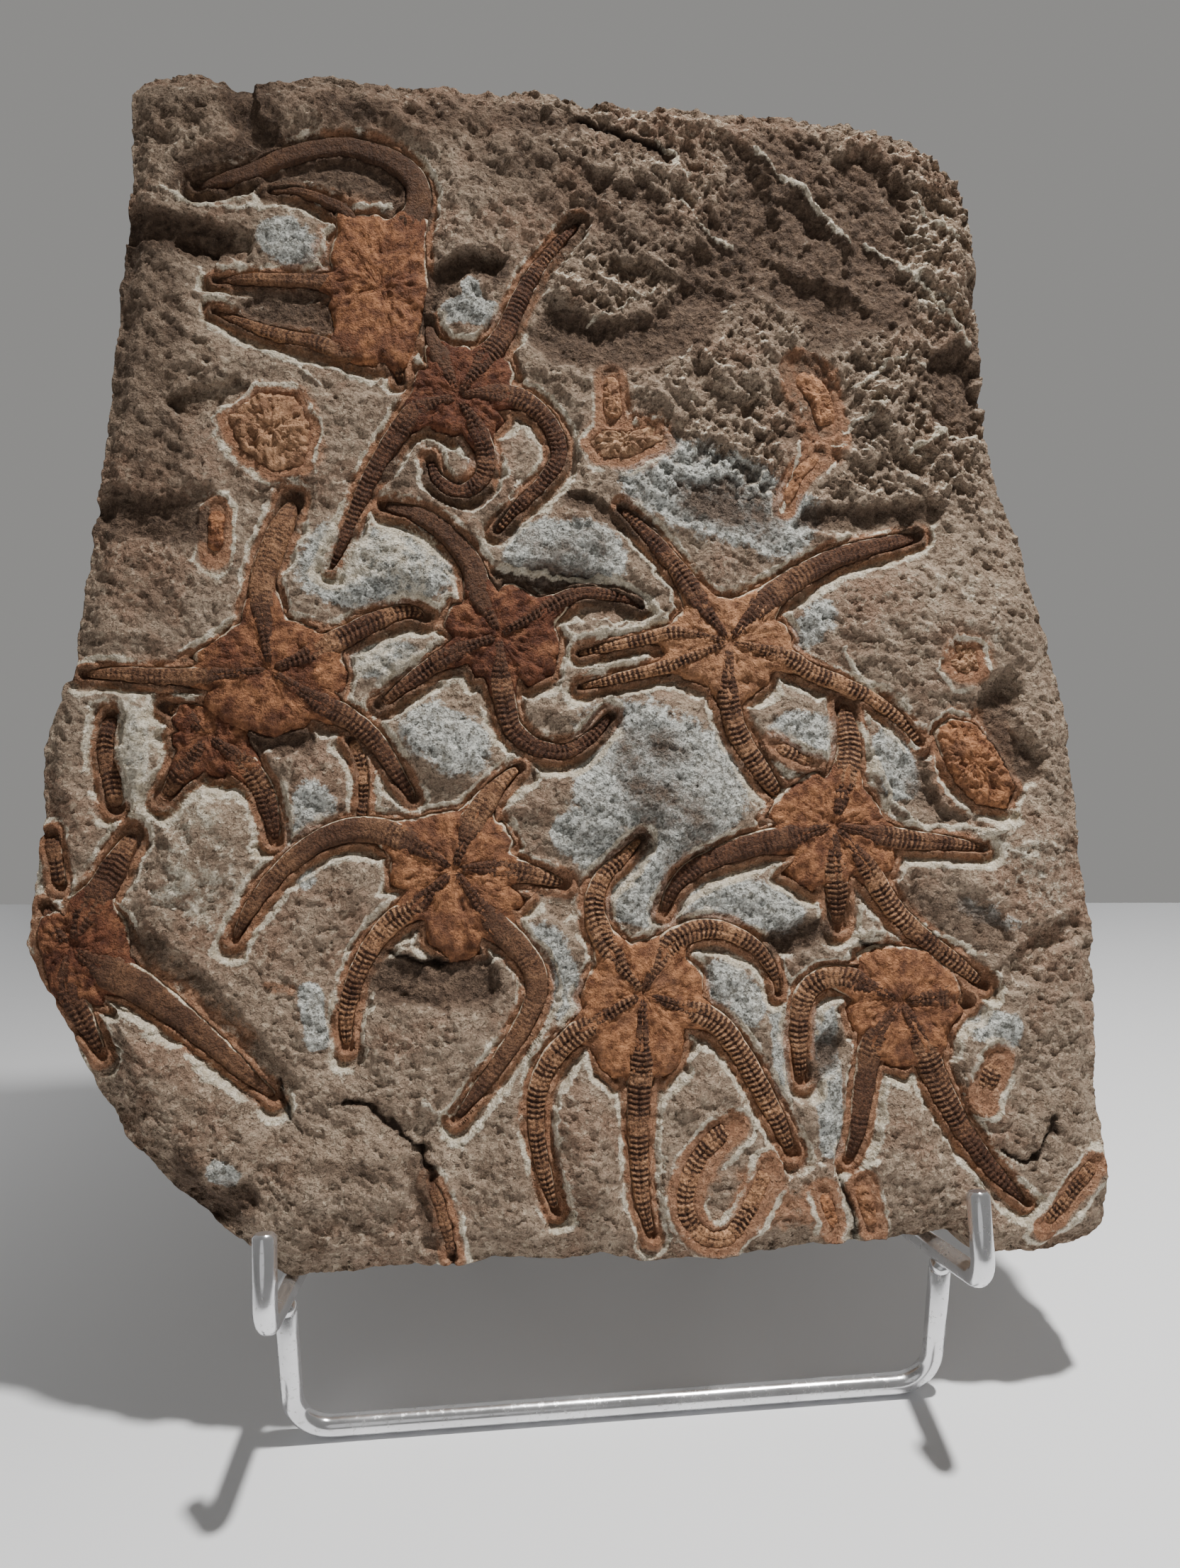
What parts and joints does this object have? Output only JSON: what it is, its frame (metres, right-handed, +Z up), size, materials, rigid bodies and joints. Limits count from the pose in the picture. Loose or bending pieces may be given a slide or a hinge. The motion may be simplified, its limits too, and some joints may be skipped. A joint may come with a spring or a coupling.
{
  "type": "starfish fossil slab on a wire display stand",
  "caption": "Rough sandstone slab crowded with fossil starfish and brittle-star arms in relief, leaning back on a bent chrome wire display stand.",
  "frame": {"origin": "middle of the whole at table height, under the bounding box", "axes": "+X to the right seen from the front, +Y away from the viewer, +Z up; the slab leans back along +Y"},
  "size_m": [0.2936, 0.1758, 0.3572],
  "materials": {
    "sandstone": "rough",
    "fossil": "rough",
    "chrome_wire": "polished"
  },
  "bodies": {
    "root": {"rock_slab": "sandstone", "starfish_1": "fossil", "starfish_2": "fossil", "starfish_3": "fossil", "starfish_4": "fossil", "starfish_5": "fossil", "starfish_6": "fossil", "starfish_7": "fossil", "starfish_8": "fossil", "starfish_9": "fossil", "starfish_10": "fossil", "starfish_11": "fossil", "arm_piece_1": "fossil", "arm_piece_2": "fossil", "arm_piece_3": "fossil", "arm_piece_4": "fossil", "arm_piece_5": "fossil", "arm_piece_6": "fossil", "arm_piece_7": "fossil", "arm_piece_8": "fossil", "arm_piece_9": "fossil", "arm_piece_10": "fossil", "arm_piece_11": "fossil", "arm_piece_12": "fossil", "disc_patch_1": "fossil", "disc_patch_2": "fossil", "disc_patch_3": "fossil", "stand_cradle": "chrome_wire", "stand_front_foot": "chrome_wire", "stand_rear_foot": "chrome_wire"}
  },
  "joints": []
}
